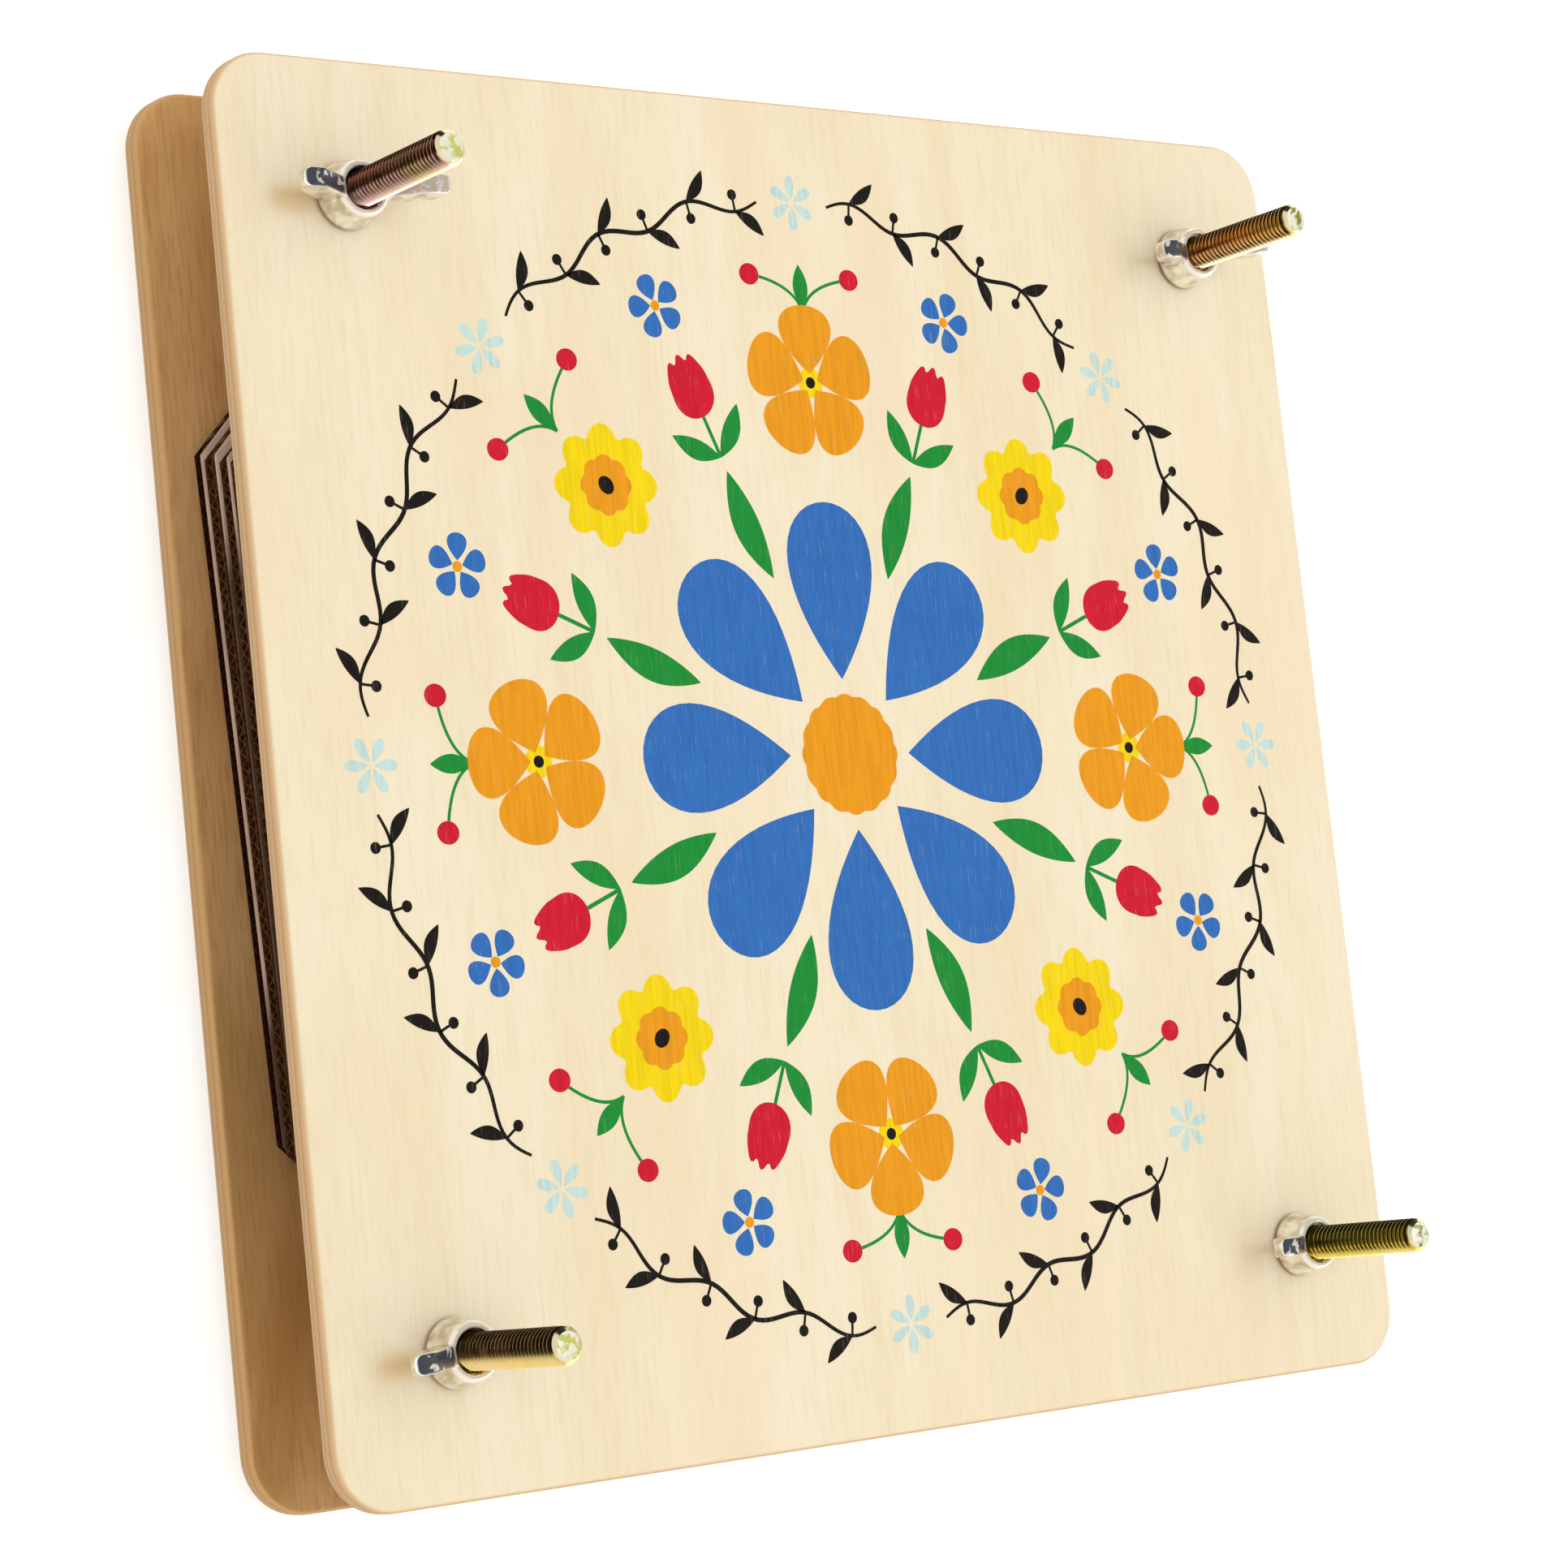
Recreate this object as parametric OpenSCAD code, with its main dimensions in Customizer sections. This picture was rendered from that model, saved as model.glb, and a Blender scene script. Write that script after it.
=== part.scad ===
// Flower press. Two square plywood boards are drawn together by four coach bolts and four
// wing nuts. Corrugated cards lie between the boards, with two blotting papers between each
// card and the next. The press lies on the heads of its bolts, with its printed face up and
// the top of the print towards +Y. The origin is on the surface that it lies on, at the
// middle of the boards.

/* [Boards] */
// Width of each board, from side to side
board_w = 230; // [200:1:320]
// Length of each board, from the foot of the print to its top
board_h = 230; // [200:1:320]
// Thickness of each board
board_t = 4; // [3.5:0.1:8]
// Radius of the boards' four corners
corner_r = 10; // [4:0.5:16]
// Radius sanded along the boards' edges
arris_r = 0.9; // [0.4:0.1:1.6]

/* [Bolts] */
// Distance from a board's edges to the middle of a bolt
bolt_inset = 23; // [18:0.5:32]
// Diameter over a bolt's thread
bolt_d = 6; // [5:0.5:8]
// Length of a bolt from under its head to its tip
bolt_len = 60; // [54:1:80]
// Size of the chamfer at a bolt's tip
tip_chamfer = 0.8; // [0.3:0.1:1.2]
// Diameter of a bolt's domed head
head_d = 16; // [13:0.5:20]
// Height of a bolt's domed head
head_h = 3.5; // [2.6:0.1:4.6]
// Height of the upright rim under the dome
head_rim = 0.8; // [0.3:0.1:1.4]
// How much wider the square neck is than the thread
neck_over = 0.4; // [0.2:0.1:1]
// Length of the square neck that is drawn into the back board
neck_h = 3; // [2:0.1:3.4]
// Gap all round a bolt in the front board's hole
hole_gap = 0.4; // [0.2:0.05:0.8]
// Gap all round a bolt in the back board and in a wing nut
thread_gap = 0.05; // [0.02:0.01:0.1]

/* [Wing nuts] */
// Height of the hub above the front board
hub_h = 6.4; // [5:0.1:8]
// Wall round the bore at the hub's foot
hub_foot_wall = 2.6; // [1.8:0.1:3.5]
// Wall round the bore at the hub's top
hub_top_wall = 1.35; // [0.9:0.05:1.7]
// Size of the chamfer at each end of the bore
bore_chamfer = 0.5; // [0.2:0.1:0.7]
// Span over the tips of the two wings
wing_span = 28; // [25:0.5:34]
// Height of the wings above the front board
wing_h = 11; // [9.8:0.1:16]
// Thickness of a wing where it leaves the hub
wing_root_t = 3.3; // [2.4:0.1:4]
// Thickness of a wing at its tip
wing_tip_t = 2.8; // [1.8:0.1:3.2]
// Width of the flat along the top of a wing
wing_top_w = 3.7; // [2.6:0.1:4.6]
// Height of a wing's outer end
wing_end_h = 3.5; // [2.6:0.1:4.6]
// How far a wing's outer end leans in at its lower corner
wing_end_lean = 0.8; // [0:0.1:1.5]
// Height of a wing's underside where it meets the hub
wing_foot_h = 0.9; // [0.4:0.1:1.6]
// Radius of the corners round a wing's outer end
wing_tip_r = 1.1; // [0.5:0.1:1.2]
// Radius of a wing's corners across its thickness
wing_edge_r = 0.7; // [0.3:0.1:0.8]

/* [Cards and papers] */
// Thickness of a corrugated card
card_t = 2.4; // [1.6:0.05:3]
// Thickness of each of a card's two liners
liner_t = 0.3; // [0.2:0.05:0.4]
// Thickness of the fluted sheet between the liners, measured across the card
flute_t = 0.36; // [0.2:0.02:0.4]
// Distance from one flute to the next
flute_pitch = 2.35; // [2:0.05:4]
// Thickness of one blotting paper
paper_t = 0.6; // [0.4:0.05:0.8]
// Air left between each sheet and what lies next to it
sheet_gap = 0.02; // [0.01:0.01:0.2]
// Distance from the boards' edges to the sheets' edges
sheet_inset = 8; // [5:0.5:12]
// Clearance between a sheet's cut corner and the bolt that it passes
corner_clear = 12; // [9:0.5:16]
// How far the loose stack has shifted towards the top of the print
stack_rise = 2; // [0:0.5:4]
// How far the loose stack has shifted to the left
stack_aside = 0.5; // [0:0.1:1.5]
// Angle that the loose stack has turned, in degrees
stack_turn = 1.9; // [0:0.1:3]
// How far each card has slipped towards the print's foot, past the papers behind it
stack_slip = 1.2; // [0:0.1:1.5]
// How far one sheet strays from the next
sheet_stray = 0.25; // [0:0.05:1.5]
// Angle that one sheet strays from the next, in degrees
sheet_stray_turn = 0.1; // [0:0.05:0.6]

/* [Hidden] */
// How far a cut runs past the surface that it opens
overrun = 1;
// Faces along a rounded corner of a wing
arc_steps = 4;
// Faces over one flute's hollow
flute_steps = 4;
// Half the glued strip's width, as a share of the way from one flute to the next
glue_share = 0.08;
// Steps, in degrees, that scatter the sheets sideways, up and down, and in angle
stray_steps = [137, 97, 71];
$fn = 72;

CORNERS = ["top_left", "top_right", "bottom_right", "bottom_left"];
// Side and height of each corner, as signs from the middle of a board
corner_signs = [[-1, 1], [1, 1], [1, -1], [-1, -1]];
// Angle at which each wing nut was left when the press was closed, in degrees
nut_turns = [1, 5, 0, 4];

card_count = 6;
papers_per_gap = 2;
paper_count = papers_per_gap * (card_count - 1);

// Heights in the stack, counted from the back board's outer face towards the front
gap_count = card_count + paper_count + 1;
stack_t = card_count * card_t + paper_count * paper_t + gap_count * sheet_gap;
front_board_at = board_t + stack_t;
nut_at = front_board_at + board_t;

// Places of the bolts
bolt_x = board_w / 2 - bolt_inset;
bolt_y = board_h / 2 - bolt_inset;
bore_d = bolt_d + 2 * thread_gap;
neck_w = bolt_d + neck_over;

// Half the height that the fluted sheet's middle line climbs
flute_swing = (card_t - 2 * liner_t - flute_t) / 2;

// Outline of the sheets: a square whose corners are cut to pass the bolts
sheet_w = board_w - 2 * sheet_inset;
sheet_h = board_h - 2 * sheet_inset;
sheet_cut = 2 * (bolt_inset - sheet_inset) + sqrt(2) * (bolt_d / 2 + corner_clear);

birch = [0.94, 0.87, 0.72];
yellow_zinc = [0.72, 0.62, 0.28];
bright_zinc = [0.80, 0.81, 0.82];
kraft = [0.50, 0.37, 0.26];
blotting_grey = [0.78, 0.74, 0.70];

function unit(v) = v / norm(v);
function at_angle(a) = [cos(a), sin(a)];

// The arc of radius r that rounds corner b, between the sides that run to a and to c
function rounded(a, b, c, r) =
    let (
        u = unit(a - b),
        v = unit(c - b),
        half = acos(u * v) / 2,
        middle = b + unit(u + v) * r / sin(half),
        from = b + u * r / tan(half) - middle,
        to = b + v * r / tan(half) - middle,
        start = atan2(from.y, from.x),
        sweep = (atan2(to.y, to.x) - start + 540) % 360 - 180
    )
    [for (i = [0:arc_steps]) middle + r * at_angle(start + sweep * i / arc_steps)];

// The same points on the other side of the middle line, in the opposite order
function mirrored(points) = [for (i = [len(points) - 1:-1:0]) [-points[i].x, points[i].y]];

// Raises what is modelled from the back board's outer face, so that the bolt heads lie at zero
module on_heads() {
    translate([0, 0, head_h]) children();
}

// Section through a board's edge, from inner to outer, with both arrises rounded
module edge_section() {
    square([corner_r - arris_r, board_t]);
    translate([0, arris_r]) square([corner_r, board_t - 2 * arris_r]);
    for (height = [arris_r, board_t - arris_r])
        translate([corner_r - arris_r, height]) circle(r = arris_r);
}

// One side of a board, with the edge section carried along it
module board_side(length) {
    rotate([90, 0, 90]) translate([0, 0, -length / 2]) linear_extrude(length) edge_section();
}

module plain_board() {
    flat_w = board_w - 2 * corner_r;
    flat_h = board_h - 2 * corner_r;
    translate([-flat_w / 2, -flat_h / 2, 0]) cube([flat_w, flat_h, board_t]);
    for (side = [0, 180]) {
        rotate(side) translate([0, flat_h / 2, 0]) board_side(flat_w);
        rotate(side + 90) translate([0, flat_w / 2, 0]) board_side(flat_h);
    }
    for (i = [0:3])
        translate([corner_signs[i].x * flat_w / 2, corner_signs[i].y * flat_h / 2, 0])
            rotate(90 - 90 * i) rotate_extrude(angle = 90) edge_section();
}

module at_corner(i) {
    translate([corner_signs[i].x * bolt_x, corner_signs[i].y * bolt_y, 0]) children();
}

module back_board() {
    color(birch) on_heads() difference() {
        plain_board();
        for (i = [0:3]) at_corner(i) {
            translate([0, 0, -overrun]) cylinder(h = board_t + 2 * overrun, d = bore_d);
            translate([-neck_w / 2, -neck_w / 2, -overrun]) cube([neck_w, neck_w, neck_h + overrun]);
        }
    }
}

module front_board() {
    color(birch) on_heads() translate([0, 0, front_board_at]) difference() {
        plain_board();
        for (i = [0:3]) at_corner(i)
            translate([0, 0, -overrun]) cylinder(h = board_t + 2 * overrun, d = bolt_d + 2 * hole_gap);
    }
}

// Coach bolt: a domed head outside the back board, a square neck in it, and a round shank
module bolt(i) {
    dome_h = head_h - head_rim;
    dome_r = (pow(head_d / 2, 2) + pow(dome_h, 2)) / (2 * dome_h);
    color(yellow_zinc) on_heads() at_corner(i) {
        intersection() {
            translate([0, 0, -head_h]) cylinder(h = head_h, d = head_d);
            translate([0, 0, dome_r - head_h]) sphere(r = dome_r, $fn = 128);
        }
        translate([-neck_w / 2, -neck_w / 2, 0]) cube([neck_w, neck_w, neck_h]);
        cylinder(h = bolt_len - tip_chamfer, d = bolt_d);
        translate([0, 0, bolt_len - tip_chamfer])
            cylinder(h = tip_chamfer, d1 = bolt_d, d2 = bolt_d - 2 * tip_chamfer);
    }
}

// Side view of both wings: up from the foot, round the outer end and down to the hub's top
module wing_outline() {
    reach = wing_span / 2;
    foot = [bore_d / 2 + hub_foot_wall - wing_foot_h, wing_foot_h];
    low_end = [reach - wing_end_lean, wing_h - wing_end_h];
    high_end = [reach, wing_h];
    inner_end = [reach - wing_top_w, wing_h];
    crown = [bore_d / 2 + hub_top_wall / 2, hub_h];
    half = concat(
        [foot],
        rounded(foot, low_end, high_end, wing_tip_r),
        rounded(low_end, high_end, inner_end, wing_tip_r),
        rounded(high_end, inner_end, crown, wing_tip_r),
        [crown]
    );
    polygon(concat(half, mirrored(half)));
}

// Both wings seen from above: thickest at the hub, thinner towards their rounded tips
module wing_plan() {
    reach = wing_span / 2;
    root = [0, wing_root_t / 2];
    tip = [reach, wing_tip_t / 2];
    under_tip = [reach, -wing_tip_t / 2];
    upper = rounded(root, tip, under_tip, wing_edge_r);
    lower = [for (p = mirrored(upper)) [-p.x, -p.y]];
    right = concat([root], upper, lower, [-root]);
    polygon(concat(right, mirrored(concat(upper, lower))));
}

module wing_nut(i) {
    color(bright_zinc) on_heads() at_corner(i) translate([0, 0, nut_at]) rotate(nut_turns[i])
        difference() {
            union() {
                cylinder(h = hub_h, d1 = bore_d + 2 * hub_foot_wall, d2 = bore_d + 2 * hub_top_wall);
                intersection() {
                    rotate([90, 0, 0]) translate([0, 0, -wing_root_t])
                        linear_extrude(2 * wing_root_t) wing_outline();
                    linear_extrude(wing_h) wing_plan();
                }
            }
            translate([0, 0, -overrun]) cylinder(h = wing_h + 2 * overrun, d = bore_d);
            cylinder(h = bore_chamfer, d1 = bore_d + 2 * bore_chamfer, d2 = bore_d);
            translate([0, 0, hub_h - bore_chamfer])
                cylinder(h = bore_chamfer, d1 = bore_d, d2 = bore_d + 2 * bore_chamfer);
        }
}

// Square with its four corners cut off, as the sheets are cut to pass the bolts
module sheet_outline() {
    x = sheet_w / 2;
    y = sheet_h / 2;
    cut = sheet_cut;
    polygon([
        [x, y - cut], [x - cut, y], [cut - x, y], [-x, y - cut],
        [-x, cut - y], [cut - x, -y], [x - cut, -y], [x, cut - y]
    ]);
}

// Puts one sheet in its place, clear of the sheets behind it. The stack has shifted and turned
// a little, each card has slipped past the papers behind it and taken those in front of it
// along, and each sheet strays a little from the one behind it
module in_stack(number, height, sheets_behind) {
    aside = sheet_stray * sin(number * stray_steps[0]) - stack_aside;
    slipped = stack_slip * floor(sheets_behind / (papers_per_gap + 1));
    along = sheet_stray * sin(number * stray_steps[1]) + stack_rise - slipped;
    turned = stack_turn + sheet_stray_turn * sin(number * stray_steps[2]);
    lift = board_t + height + (sheets_behind + 1) * sheet_gap;
    on_heads() translate([aside, along, lift]) rotate(turned) children();
}

// Height of the fluted sheet's middle line, at a share of the way from one flute to the next
function wave(share) = card_t / 2 - flute_swing * cos(360 * share);

// Outline of one hollow, between a liner and the fluted sheet that arches over it. Its two
// ends lie on the liner, beside the strips where the fluted sheet is glued down.
function hollow(at) = [
    for (i = [0:flute_steps])
        let (
            share = glue_share + (1 - 2 * glue_share) * i / flute_steps,
            on_liner = i == 0 || i == flute_steps
        )
        [at + share * flute_pitch, on_liner ? liner_t : wave(share) - flute_t / 2]
];

// Section across a card's flutes: two liners with the fluted sheet between them. The hollows
// under the flutes come first, and the same ones turned over lie half a pitch along.
module card_section() {
    flutes = floor(sheet_h / flute_pitch) - 2;
    start = -flutes * flute_pitch / 2;
    under = [for (i = [0:flutes - 1]) hollow(start + i * flute_pitch)];
    over = [
        for (i = [0:flutes - 1])
            [for (p = hollow(start + (i + 1 / 2) * flute_pitch)) [p.x, card_t - p.y]]
    ];
    corners = [[-sheet_h / 2, 0], [sheet_h / 2, 0], [sheet_h / 2, card_t], [-sheet_h / 2, card_t]];
    hollows = concat(under, over);
    size = flute_steps + 1;
    points = concat(corners, [for (shape = hollows) each shape]);
    paths = concat(
        [[0, 1, 2, 3]],
        [for (k = [0:len(hollows) - 1]) [for (i = [0:size - 1]) len(corners) + k * size + i]]
    );
    polygon(points, paths);
}

// Corrugated card number i, counted from the back board
module card(i) {
    behind = (i - 1) * (card_t + papers_per_gap * paper_t);
    color(kraft) in_stack(i, behind, (i - 1) * (papers_per_gap + 1)) intersection() {
        translate([0, 0, -overrun]) linear_extrude(card_t + 2 * overrun) sheet_outline();
        translate([-sheet_w / 2, 0, 0]) rotate([90, 0, 90]) linear_extrude(sheet_w) card_section();
    }
}

// Blotting paper number i, counted from the back board
module blotter(i) {
    cards_behind = floor((i - 1) / papers_per_gap) + 1;
    behind = cards_behind * card_t + (i - 1) * paper_t;
    color(blotting_grey) in_stack(card_count + i, behind, cards_behind + i - 1)
        linear_extrude(paper_t) sheet_outline();
}

back_board();
front_board();
for (i = [0:3]) {
    bolt(i);
    wing_nut(i);
}
for (i = [1:card_count])
    card(i);
for (i = [1:paper_count])
    blotter(i);
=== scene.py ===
import math

import bmesh
import bpy
import numpy as np
from mathutils import Matrix, Vector


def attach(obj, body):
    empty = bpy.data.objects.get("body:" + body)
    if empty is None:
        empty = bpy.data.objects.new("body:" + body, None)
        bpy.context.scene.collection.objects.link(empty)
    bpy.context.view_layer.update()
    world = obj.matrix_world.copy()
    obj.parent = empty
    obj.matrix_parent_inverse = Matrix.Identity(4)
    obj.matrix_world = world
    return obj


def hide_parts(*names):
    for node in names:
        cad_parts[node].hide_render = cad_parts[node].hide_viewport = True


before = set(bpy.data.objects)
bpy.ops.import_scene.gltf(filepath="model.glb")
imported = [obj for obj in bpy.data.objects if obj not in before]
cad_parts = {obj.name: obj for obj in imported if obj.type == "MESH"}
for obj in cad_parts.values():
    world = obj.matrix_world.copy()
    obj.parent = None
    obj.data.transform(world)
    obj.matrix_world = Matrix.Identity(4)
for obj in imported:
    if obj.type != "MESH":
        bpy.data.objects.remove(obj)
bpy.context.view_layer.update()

MM = 0.001


# Camera
# The press lies on its back and is seen from its left and from above, with the top of its print to the top of the
# picture. The camera is only 0.7 m away, so the four bolts point apart from each other.
view_from = Vector((-0.4500, -0.0721, 0.5792))
view_ahead = Vector((0.61776, 0.12155, -0.77692)).normalized()
view_right = Vector((0.78634, -0.1044, 0.60891)).normalized()
view_up = view_right.cross(view_ahead)
camera_data = bpy.data.cameras.new("camera")
camera_data.sensor_width = 36
camera_data.lens = 95.39
camera_data.shift_x = 0.0071
camera_data.shift_y = -0.0681
camera = bpy.data.objects.new("camera", camera_data)
bpy.context.scene.collection.objects.link(camera)
camera.matrix_world = Matrix.Translation(view_from) @ Matrix((view_right, view_up, -view_ahead)).transposed().to_4x4()
bpy.context.scene.camera = camera
bpy.context.scene.view_settings.view_transform = "Standard"


# Back board
# Birch plywood of three plies, 4 mm thick, with the grain of its face veneers from the foot of the print to its top,
# sawn and sanded round all its edges. Its faces are painted a honey brown, darker than the front board's: painted shade
# of the gap between the boards. The plies show at the edge.
board_thick, ply_count = 4.0, 3
back_board_foot = 3.5


def put(tree, kind, inputs=None, **settings):
    """Adds a node with these settings, and fills its inputs with plain values or with links from other sockets."""
    node = tree.nodes.new(kind)
    for name, setting in settings.items():
        setattr(node, name, setting)
    for key, value in (inputs or {}).items():
        if isinstance(value, bpy.types.NodeSocket):
            tree.links.new(value, node.inputs[key])
        else:
            node.inputs[key].default_value = value
    return node


def maths(tree, operation, a, b=0.0, clamp=False):
    """A sum, product or other operation on one or two values."""
    return put(tree, "ShaderNodeMath", {0: a, 1: b}, operation=operation, use_clamp=clamp).outputs[0]


def between(tree, value, low, high, start=0.0, end=1.0):
    """Carries a value from the span low to high smoothly to the span start to end, and holds it past both."""
    inputs = {"Value": value, "From Min": low, "From Max": high, "To Min": start, "To Max": end}
    return put(tree, "ShaderNodeMapRange", inputs, interpolation_type="SMOOTHSTEP").outputs[0]


def split(tree, vector):
    """The outputs X, Y and Z of a vector."""
    return put(tree, "ShaderNodeSeparateXYZ", {0: vector}).outputs


def blend_colours(tree, share, first, second, how="MIX"):
    """The first colour at share 0, and at share 1 the second one, or the product of both where asked."""
    inputs = {0: share, 6: first, 7: second}
    return put(tree, "ShaderNodeMix", inputs, data_type="RGBA", blend_type=how).outputs[2]


def noise(tree, vector, stretch, detail=3.0, distortion=0.0):
    """Noise whose features are 1 / stretch metres across in each direction."""
    scaled = put(tree, "ShaderNodeMapping", {"Vector": vector, "Scale": stretch}).outputs[0]
    inputs = {"Vector": scaled, "Scale": 1.0, "Detail": detail, "Distortion": distortion}
    return put(tree, "ShaderNodeTexNoise", inputs).outputs["Fac"]


def colour(red, green, blue):
    """A colour seen on a screen, from 0 to 255 in each channel, as the linear colour that a shader takes."""
    seen = np.array([red, green, blue]) / 255
    linear = np.where(seen <= 0.04045, seen / 12.92, ((seen + 0.055) / 1.055) ** 2.4)
    return (*map(float, linear), 1.0)


def roughen(tree, shader, height, strength, depth):
    """Bumps of this height, from 0 to 1, over a depth in millimetres."""
    bump = put(tree, "ShaderNodeBump", {"Strength": strength, "Distance": depth * MM, "Height": height})
    tree.links.new(bump.outputs[0], shader.inputs["Normal"])


def new_material(name):
    """A material with a Principled shader, its tree, the shader, and the coordinates of the piece."""
    material = bpy.data.materials.new(name)
    material.use_nodes = True
    tree = material.node_tree
    shader = tree.nodes["Principled BSDF"]
    return material, tree, shader, tree.nodes.new("ShaderNodeTexCoord")


def new_group(name, inputs, outputs):
    """An empty shader node group with these named sockets, and its input and output nodes."""
    group = bpy.data.node_groups.new(name, "ShaderNodeTree")
    for label, kind in inputs.items():
        group.interface.new_socket(label, in_out="INPUT", socket_type=kind)
    for label, kind in outputs.items():
        group.interface.new_socket(label, in_out="OUTPUT", socket_type=kind)
    return group, group.nodes.new("NodeGroupInput"), group.nodes.new("NodeGroupOutput")


# The grain of a birch veneer along Y: fine fibres, short pores, and the broad figure of a rotary cut
grain_group, grain_in, grain_out = new_group(
    "birch_grain",
    {"Place": "NodeSocketVector"},
    {"Fibre": "NodeSocketFloat", "Pores": "NodeSocketFloat", "Figure": "NodeSocketFloat", "Height": "NodeSocketFloat"},
)
grain_place = grain_in.outputs["Place"]
fibre = noise(grain_group, grain_place, (1500, 110, 260), 4, 0.3)
pore_noise = noise(grain_group, grain_place, (3600, 210, 900), 2)
pores = between(grain_group, pore_noise, 0.60, 0.74)
figure = noise(grain_group, grain_place, (46, 7.5, 20), 3, 1.2)
fine_height = maths(grain_group, "SUBTRACT", fibre, maths(grain_group, "MULTIPLY", pores, 0.6))
for label, socket in (("Fibre", fibre), ("Pores", pores), ("Figure", figure), ("Height", fine_height)):
    grain_group.links.new(socket, grain_out.inputs[label])


def birch(name, behind, pale, deep, fibre_tone, flush, figured, edge_pale, edge_deep, rim, arris, glue, marks):
    """Birch plywood whose lower face lies at z = behind. Its faces vary from pale to deep with the figure, darkened by
    fibres and pores as much as figured says, flushed in patches, and marked by the function marks. Round the edge the
    plies alternate: along the edges that follow the grain the face plies show their length and the middle one its
    ends, and along the other two it is the reverse. Dark glue parts them, and towards the lower face the edge takes on
    the tone of the rim, a painted highlight."""
    material, tree, shader, coordinates = new_material(name)
    place = coordinates.outputs["Object"]
    veneer = put(tree, "ShaderNodeGroup", {"Place": place}, node_tree=grain_group).outputs
    direction = split(tree, coordinates.outputs["Normal"])
    facing = maths(tree, "ABSOLUTE", direction["Z"])

    face = blend_colours(tree, between(tree, veneer["Figure"], 0.32, 0.72), pale, deep)
    face = blend_colours(tree, between(tree, veneer["Fibre"], 0.42, 0.75, 0.0, 0.2 * figured), face, fibre_tone)
    face = blend_colours(tree, maths(tree, "MULTIPLY", veneer["Pores"], 0.16 * figured), face, fibre_tone)
    patches = between(tree, noise(tree, place, (38, 16, 38), 2, 0.6), 0.5, 0.72, 0.0, 0.5)
    face = blend_colours(tree, patches, face, flush)
    face = marks(tree, place, face)

    wavy = 0.05
    wander = maths(tree, "MULTIPLY", noise(tree, place, (60, 60, 60), 1), wavy)
    depth = maths(tree, "DIVIDE", maths(tree, "SUBTRACT", split(tree, place)["Z"], behind), board_thick * MM)
    depth = maths(tree, "ADD", depth, maths(tree, "SUBTRACT", wander, wavy / 2))
    plies = maths(tree, "MULTIPLY", depth, ply_count)
    number = maths(tree, "MODULO", maths(tree, "FLOOR", plies), 2)
    across_grain = between(tree, maths(tree, "ABSOLUTE", direction["Y"]), 0.5, 0.85)
    cross = maths(tree, "ABSOLUTE", maths(tree, "SUBTRACT", number, across_grain))
    ends = noise(tree, place, (900, 900, 2600), 2)
    along = noise(tree, place, (60, 60, 2400), 3)
    own = maths(tree, "MULTIPLY", maths(tree, "SUBTRACT", 1.0, cross), along)
    speckle = maths(tree, "ADD", maths(tree, "MULTIPLY", cross, ends), own)
    edge = blend_colours(tree, cross, edge_pale, edge_deep)
    # Painted highlight: the edge takes on the rim tone towards the lower face
    edge = blend_colours(tree, between(tree, depth, 0.15, 0.75, 0.9, 0.0), edge, rim)
    edge = blend_colours(tree, between(tree, speckle, 0.4, 0.75, 0.0, 0.3), edge, arris)
    from_line = maths(tree, "ABSOLUTE", maths(tree, "SUBTRACT", maths(tree, "FRACT", plies), 0.5))
    edge = blend_colours(tree, between(tree, from_line, 0.26, 0.46, 0.0, 0.6), edge, glue)
    rounded = between(tree, facing, 0.25, 0.75)
    edge = blend_colours(tree, maths(tree, "MULTIPLY", rounded, 0.6), edge, arris)
    whole = blend_colours(tree, between(tree, facing, 0.72, 0.97), edge, face)
    tree.links.new(whole, shader.inputs["Base Color"])

    tree.links.new(between(tree, veneer["Fibre"], 0.3, 0.7, 0.6, 0.7), shader.inputs["Roughness"])
    shader.inputs["Specular IOR Level"].default_value = 0.25
    roughen(tree, shader, veneer["Height"], 0.25, 0.06)
    return material


def wear(node, material):
    """Gives a CAD node's object this material in place of its own."""
    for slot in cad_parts[node].material_slots:
        slot.material = material


def painted_shade_toward_foot(tree, place, face):
    """Painted shade: the wood is darker from the middle of the print to some 50 mm below it."""
    lower = between(tree, split(tree, place)["Y"], 10 * MM, -50 * MM)
    return blend_colours(tree, lower, face, (0.84, 0.83, 0.82, 1.0), "MULTIPLY")


# Painted shade: the back board's colours are darker than the front board's, for the shade between the boards
wear("back_board", birch(
    "birch_back", back_board_foot * MM,
    pale=colour(246, 204, 150), deep=colour(216, 164, 104), fibre_tone=colour(176, 122, 70),
    flush=colour(208, 158, 92), figured=2.0,
    edge_pale=colour(230, 184, 132), edge_deep=colour(226, 180, 128), rim=colour(238, 204, 168),
    arris=colour(236, 190, 138), glue=colour(206, 160, 108), marks=painted_shade_toward_foot,
))


# Coach bolts
# Four M6 bolts of cold-headed steel, 60 mm under a low domed head, with a square neck that is drawn into the back
# board and a rolled thread of 1 mm pitch all the way to a chamfered tip. They are zinc plated and yellow passivated.
bolt_out = 92
bolt_places = {
    "top_left": (-bolt_out, bolt_out), "top_right": (bolt_out, bolt_out),
    "bottom_right": (bolt_out, -bolt_out), "bottom_left": (-bolt_out, -bolt_out),
}
head_foot, tip_at = 3.5, 63.5  # The heights of the head's flat face and of the tip
head_rise, head_rim, head_radius, head_round = 3.5, 0.8, 8.0, 0.1
neck_half, neck_end, neck_taper = 3.2, 3.0, 0.3
crest, root, pitch, run_in = 3.0, 2.48, 1.0, 1.5
bolt_chamfer, tip_dish = 0.8, 0.05
crest_and_root_shares = (0.0, 0.09, 0.43, 0.68)  # Of the pitch: both edges of the crest, and both of the root
turn_columns = 48


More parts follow.
